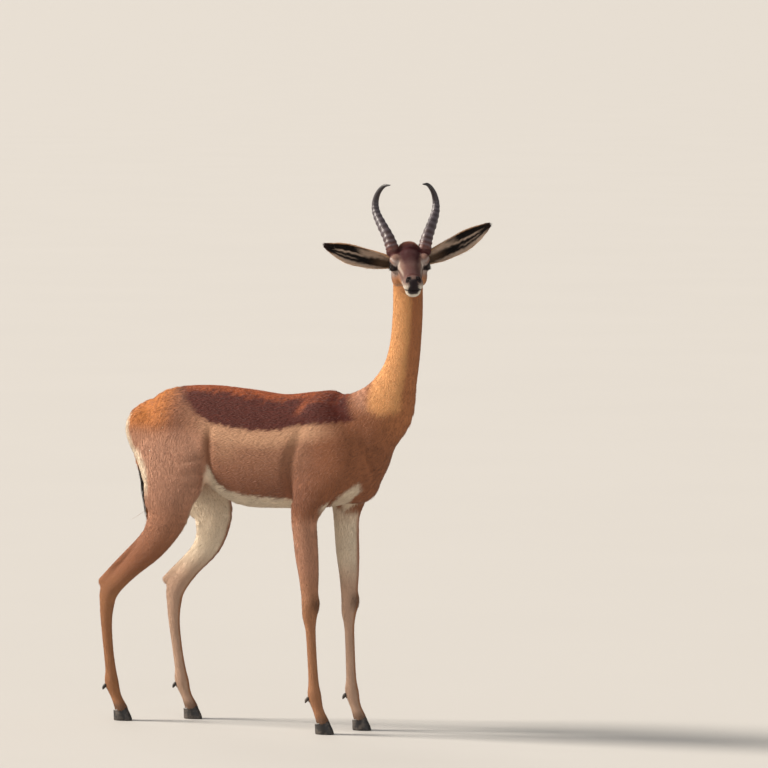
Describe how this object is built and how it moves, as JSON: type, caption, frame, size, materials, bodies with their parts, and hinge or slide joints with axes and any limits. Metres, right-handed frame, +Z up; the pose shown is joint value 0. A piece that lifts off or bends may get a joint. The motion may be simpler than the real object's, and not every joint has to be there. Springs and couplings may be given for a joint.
{
  "type": "gerenuk antelope",
  "caption": "Life-size male gerenuk standing square, long neck upright, head turned to its right, with lyre-shaped ringed horns and spread ears.",
  "frame": {"origin": "on the floor, under the middle of the animal's box", "axes": "+X towards the chest along the spine, +Y to the animal's left, +Z up"},
  "size_m": [1.1638, 0.3506, 1.5451],
  "materials": {
    "coat": "short, smooth, reddish-brown hair",
    "ear": "short fawn hair outside, dark inside",
    "horn": "ringed dark horn, smooth at the tips",
    "eye": "wet, very dark brown",
    "hoof": "black hoof horn",
    "tuft": "long black hair"
  },
  "bodies": {
    "root": {"trunk": "coat", "head": "coat", "neck": "coat", "leg_front_left": "coat", "hoof_front_left_outer": "hoof", "hoof_front_left_inner": "hoof", "leg_hind_left": "coat", "hoof_hind_left_outer": "hoof", "hoof_hind_left_inner": "hoof", "eye_left": "eye", "leg_front_right": "coat", "hoof_front_right_outer": "hoof", "hoof_front_right_inner": "hoof", "leg_hind_right": "coat", "hoof_hind_right_outer": "hoof", "hoof_hind_right_inner": "hoof", "eye_right": "eye", "horn_left": "horn", "ear_left": "ear", "horn_right": "horn", "ear_right": "ear", "tail": "coat", "tail_tuft": "tuft"}
  },
  "joints": []
}
